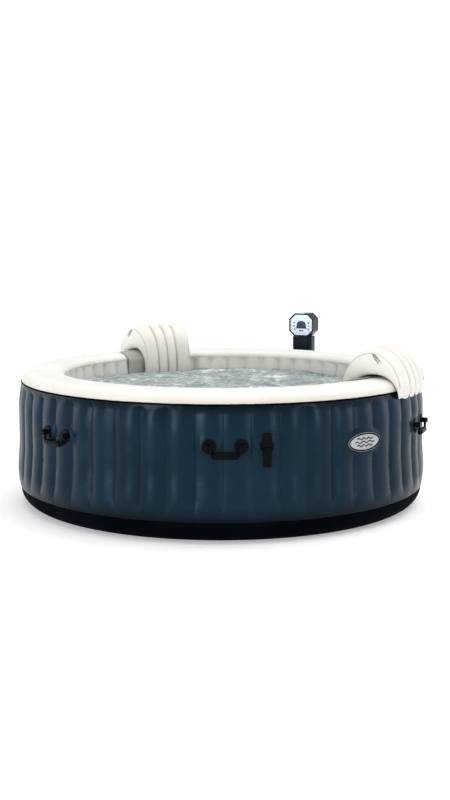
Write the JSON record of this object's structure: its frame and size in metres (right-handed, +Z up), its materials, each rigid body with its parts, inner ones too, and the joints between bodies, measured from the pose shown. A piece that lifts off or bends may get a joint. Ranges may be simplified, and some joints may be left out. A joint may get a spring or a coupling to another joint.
{
  "type": "inflatable hot tub",
  "caption": "Round inflatable hot tub with a ribbed dark wall, pale padded rim, lift-off headrests, carry handles and a separate pump base with a control head.",
  "frame": {"origin": "centre of the tub's underside, on the ground", "axes": "+Z up; -Y towards the side with the oval badge and a cover buckle; +X to the right seen from -Y"},
  "size_m": [2.1737, 2.6728, 0.9053],
  "materials": {
    "badge_metal": "satin metallic",
    "black_plastic": "fine moulded texture",
    "black_sheet": "satin laminated vinyl",
    "board": "circuit board",
    "filter_paper": "pleated paper",
    "grey_plastic": "fine moulded texture",
    "hose_plastic": "smooth",
    "inner_sheet": "satin laminated vinyl",
    "navy_sheet": "satin laminated vinyl",
    "pad_sheet": "satin vinyl",
    "panel_silver": "satin metallic",
    "screen_glass": "glossy",
    "seal_rubber": "matt",
    "steel": "brushed",
    "web_cloth": "coated mesh",
    "white_plastic": "fine moulded texture",
    "white_sheet": "satin laminated vinyl"
  },
  "bodies": {
    "tub": {"outer_wall": "navy_sheet", "inner_wall": "inner_sheet", "base_skin": "black_sheet", "top_rim": "white_sheet", "floor_liner": "inner_sheet", "seam_welts": "black_sheet", "wall_beams": "web_cloth", "bubble_ring": "inner_sheet", "handle_lugs": "black_plastic", "buckle_anchors": "black_plastic", "badge": "badge_metal", "wall_fittings": "grey_plastic", "fitting_gaskets": "seal_rubber", "union_nuts": "grey_plastic", "connecting_hoses": "hose_plastic", "return_grid": "white_plastic", "filter_cage": "white_plastic", "filter_cartridge": "filter_paper", "inflation_valve": "grey_plastic", "drain_fitting": "grey_plastic", "base_tray": "black_plastic", "base_cover": "black_plastic", "base_feet": "seal_rubber", "base_screws": "steel", "power_gland": "seal_rubber", "neck": "black_plastic", "pump_housing": "grey_plastic", "heater": "steel", "blower_housing": "grey_plastic", "power_board": "board"},
    "head": {"head_housing": "black_plastic", "head_bezel": "black_plastic", "panel_face": "panel_silver", "screen": "screen_glass", "head_tab": "panel_silver", "control_board": "board"},
    "handle_1": {"handle_1": "black_plastic"},
    "handle_2": {"handle_2": "black_plastic"},
    "handle_3": {"handle_3": "black_plastic"},
    "handle_4": {"handle_4": "black_plastic"},
    "handle_5": {"handle_5": "black_plastic"},
    "handle_6": {"handle_6": "black_plastic"},
    "buckle_1": {"buckle_1": "black_plastic"},
    "buckle_2": {"buckle_2": "black_plastic"},
    "buckle_3": {"buckle_3": "black_plastic"},
    "headrest_right": {"headrest_right": "pad_sheet"},
    "headrest_left": {"headrest_left": "pad_sheet"},
    "inflation_cap": {"inflation_cap": "grey_plastic"},
    "drain_cap": {"drain_cap": "grey_plastic"},
    "filter_cap": {"filter_cap": "white_plastic"},
    "pump_impeller": {"pump_impeller": "grey_plastic"},
    "blower_fan": {"blower_fan": "grey_plastic"},
    "button_up": {"button_up": "grey_plastic"},
    "button_down": {"button_down": "grey_plastic"},
    "button_power": {"button_power": "grey_plastic"},
    "button_heat": {"button_heat": "grey_plastic"},
    "button_filter": {"button_filter": "grey_plastic"},
    "button_bubble": {"button_bubble": "grey_plastic"},
    "button_timer": {"button_timer": "grey_plastic"},
    "button_lock": {"button_lock": "grey_plastic"}
  },
  "joints": [
    {"name": "handle_1_swing", "type": "hinge", "parent": "tub", "child": "handle_1", "pos_m": [0.01916, -1.09783, 0.46], "axis": [-0.9998, -0.0175, 0], "range_deg": [-4, 100]},
    {"name": "handle_2_swing", "type": "hinge", "parent": "tub", "child": "handle_2", "pos_m": [1.02847, -0.38453, 0.46], "axis": [-0.3502, -0.9367, 0], "range_deg": [-4, 100]},
    {"name": "handle_3_swing", "type": "hinge", "parent": "tub", "child": "handle_3", "pos_m": [0.94117, 0.56551, 0.46], "axis": [0.515, -0.8572, 0], "range_deg": [-4, 100]},
    {"name": "handle_4_swing", "type": "hinge", "parent": "tub", "child": "handle_4", "pos_m": [-0.19067, 1.08132, 0.46], "axis": [0.9848, 0.1736, 0], "range_deg": [-4, 100]},
    {"name": "handle_5_swing", "type": "hinge", "parent": "tub", "child": "handle_5", "pos_m": [-0.96033, 0.53232, 0.46], "axis": [0.4848, 0.8746, 0], "range_deg": [-4, 100]},
    {"name": "handle_6_swing", "type": "hinge", "parent": "tub", "child": "handle_6", "pos_m": [-0.80953, -0.7418, 0.46], "axis": [-0.6756, 0.7373, 0], "range_deg": [-4, 100]},
    {"name": "buckle_1_swing", "type": "hinge", "parent": "tub", "child": "buckle_1", "pos_m": [0.2123, -1.07218, 0.448], "axis": [-0.981, -0.1942, 0], "range_deg": [0, 150]},
    {"name": "buckle_2_swing", "type": "hinge", "parent": "tub", "child": "buckle_2", "pos_m": [0.82239, 0.71995, 0.448], "axis": [0.6587, -0.7524, 0], "range_deg": [0, 150]},
    {"name": "buckle_3_swing", "type": "hinge", "parent": "tub", "child": "buckle_3", "pos_m": [-1.03469, 0.35224, 0.448], "axis": [0.3223, 0.9466, 0], "range_deg": [0, 150]},
    {"name": "headrest_right_lift", "type": "slide", "parent": "tub", "child": "headrest_right", "axis": [0, 0, 1], "range_m": [0, 0.3]},
    {"name": "headrest_left_lift", "type": "slide", "parent": "tub", "child": "headrest_left", "axis": [0, 0, 1], "range_m": [0, 0.3]},
    {"name": "inflation_cap_open", "type": "hinge", "parent": "tub", "child": "inflation_cap", "pos_m": [1.08453, 0.11399, 0.598], "axis": [0.1045, -0.9945, 0], "range_deg": [0, 150]},
    {"name": "drain_cap_open", "type": "hinge", "parent": "tub", "child": "drain_cap", "pos_m": [0.72614, 0.81358, 0.094], "axis": [0.7461, -0.6659, 0], "range_deg": [0, 120]},
    {"name": "filter_cap_turn", "type": "hinge", "parent": "tub", "child": "filter_cap", "pos_m": [0.24185, 0.6572, 0.15], "axis": [0.372, 0.9282, 0], "range_deg": [0, 60]},
    {"name": "pump_impeller_spin", "type": "hinge", "parent": "tub", "child": "pump_impeller", "pos_m": [0.46506, 1.21413, 0.15], "axis": [0.372, 0.9282, 0], "continuous": true},
    {"name": "blower_fan_spin", "type": "hinge", "parent": "tub", "child": "blower_fan", "pos_m": [0.46506, 1.21413, 0.43], "axis": [0.372, 0.9282, 0], "continuous": true},
    {"name": "head_swivel", "type": "hinge", "parent": "tub", "child": "head", "pos_m": [0.53682, 1.33943, 0.7485], "axis": [0, 0, 1], "range_deg": [-30, 30]},
    {"name": "button_up_press", "type": "slide", "parent": "head", "child": "button_up", "axis": [0.372, 0.9282, 0], "range_m": [0, 0.0012], "stiffness_N_per_m": 300},
    {"name": "button_down_press", "type": "slide", "parent": "head", "child": "button_down", "axis": [0.372, 0.9282, 0], "range_m": [0, 0.0012], "stiffness_N_per_m": 300},
    {"name": "button_power_press", "type": "slide", "parent": "head", "child": "button_power", "axis": [0.372, 0.9282, 0], "range_m": [0, 0.0012], "stiffness_N_per_m": 300},
    {"name": "button_heat_press", "type": "slide", "parent": "head", "child": "button_heat", "axis": [0.372, 0.9282, 0], "range_m": [0, 0.0012], "stiffness_N_per_m": 300},
    {"name": "button_filter_press", "type": "slide", "parent": "head", "child": "button_filter", "axis": [0.372, 0.9282, 0], "range_m": [0, 0.0012], "stiffness_N_per_m": 300},
    {"name": "button_bubble_press", "type": "slide", "parent": "head", "child": "button_bubble", "axis": [0.372, 0.9282, 0], "range_m": [0, 0.0012], "stiffness_N_per_m": 300},
    {"name": "button_timer_press", "type": "slide", "parent": "head", "child": "button_timer", "axis": [0.372, 0.9282, 0], "range_m": [0, 0.0012], "stiffness_N_per_m": 300},
    {"name": "button_lock_press", "type": "slide", "parent": "head", "child": "button_lock", "axis": [0.372, 0.9282, 0], "range_m": [0, 0.0012], "stiffness_N_per_m": 300}
  ]
}
